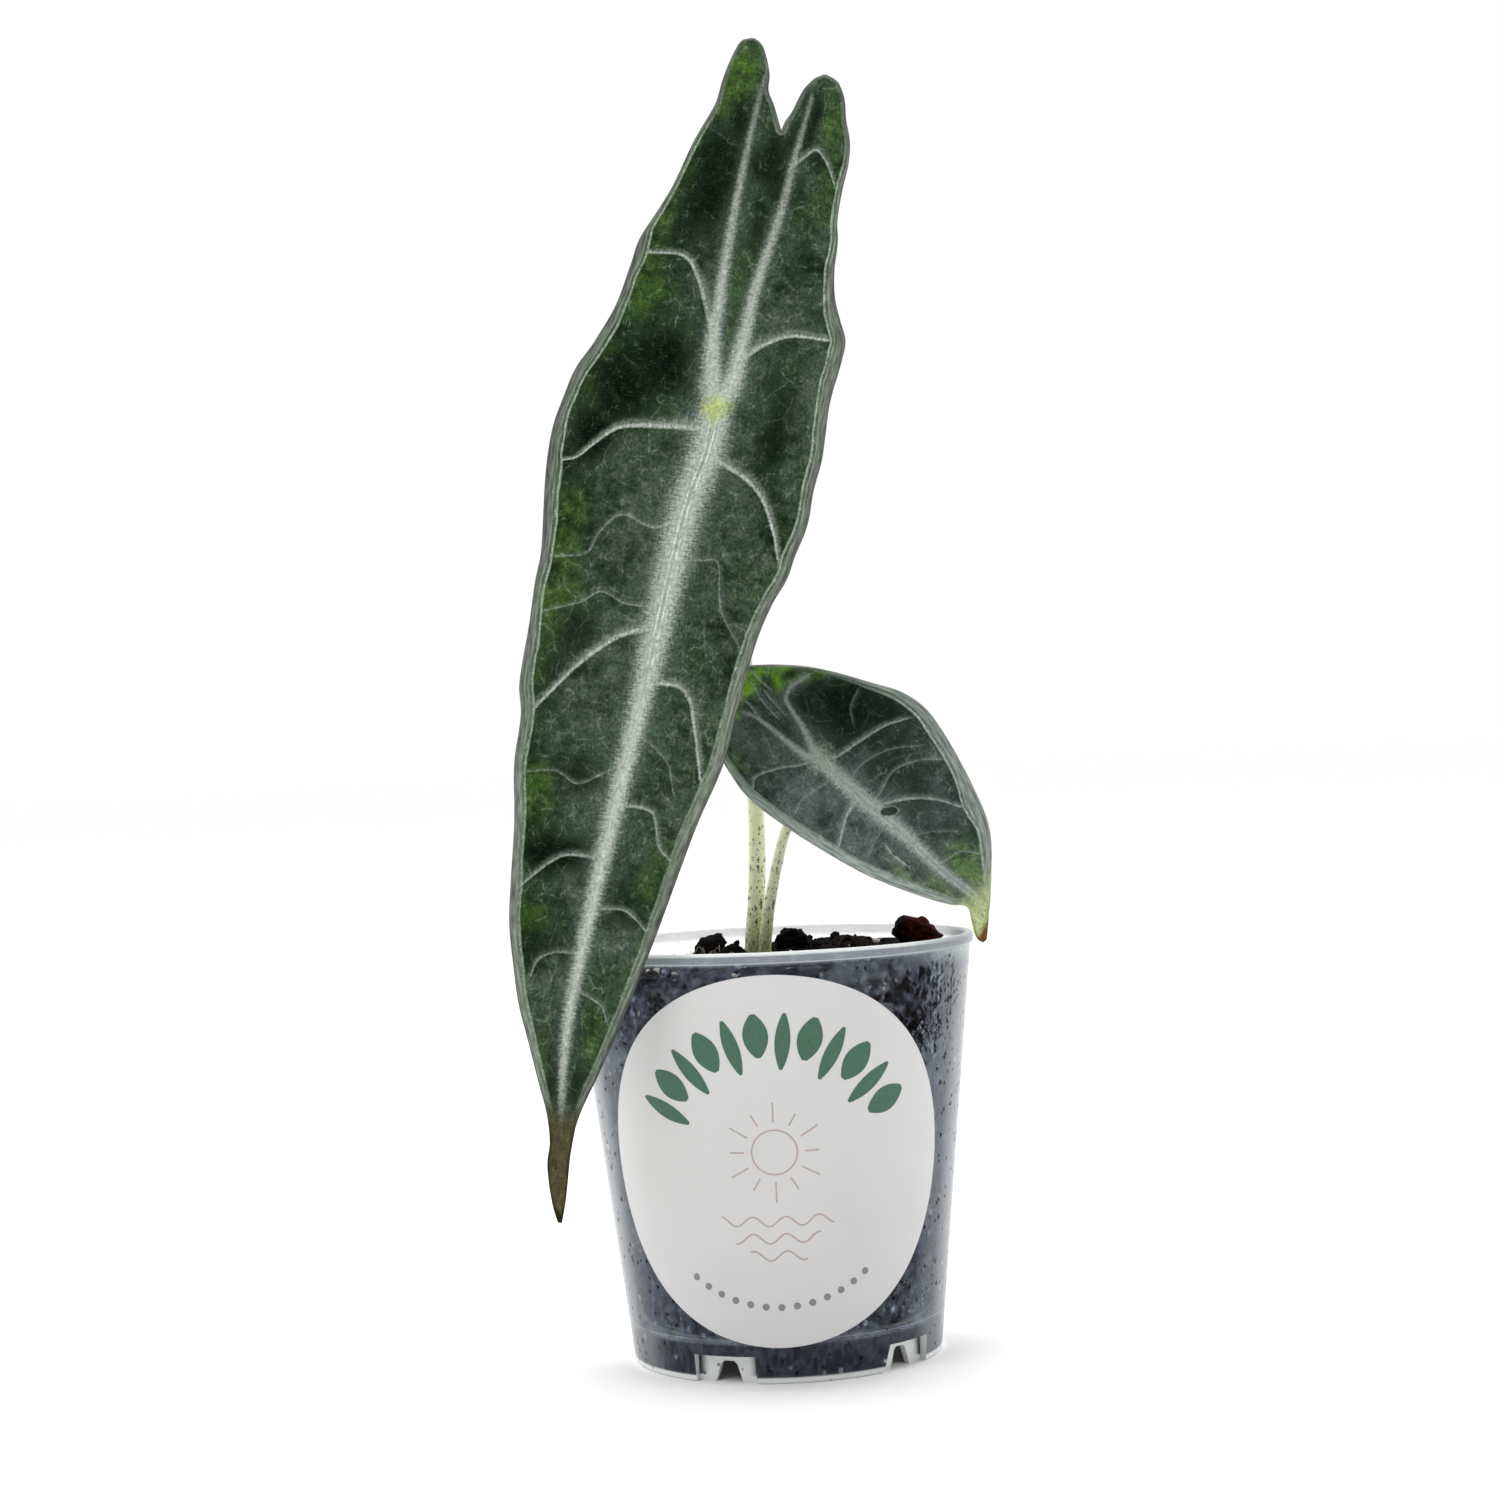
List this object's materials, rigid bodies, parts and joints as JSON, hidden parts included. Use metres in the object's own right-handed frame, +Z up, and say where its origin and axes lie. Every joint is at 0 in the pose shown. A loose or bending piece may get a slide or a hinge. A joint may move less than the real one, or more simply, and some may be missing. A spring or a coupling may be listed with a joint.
{
  "type": "potted alocasia longiloba",
  "caption": "Young alocasia longiloba with one long arrow-shaped leaf and one small leaf, rooted in dark soil in a small clear plastic pot with a round paper label.",
  "frame": {"origin": "middle of the whole object's footprint, on the surface that the pot stands on", "axes": "+Z up along the pot's axis; the label and the upper faces of the leaves face -Y; +X is to the right in the picture"},
  "size_m": [0.0686, 0.0622, 0.1963],
  "materials": {
    "clear_plastic": "clear, slightly milky, smooth",
    "label_paper": "satin white sticker",
    "soil": "dark, coarse, matte",
    "corm": "matte, fibrous",
    "leaf_stalk": "pale green with dark specks, satin",
    "long_blade": "dark green with silver veins, satin",
    "small_blade": "blue-green with silver veins, satin",
    "red_bark": "rough reddish bark",
    "black_bark": "rough charred bark"
  },
  "bodies": {
    "root": {"pot": "clear_plastic", "label": "label_paper", "soil": "soil", "corm_and_roots": "corm", "petiole_long_leaf": "leaf_stalk", "petiole_small_leaf": "leaf_stalk", "blade_long_leaf": "long_blade", "blade_small_leaf": "small_blade", "bark_chip_1": "red_bark", "bark_chip_2": "black_bark", "bark_chip_3": "red_bark"}
  },
  "joints": []
}
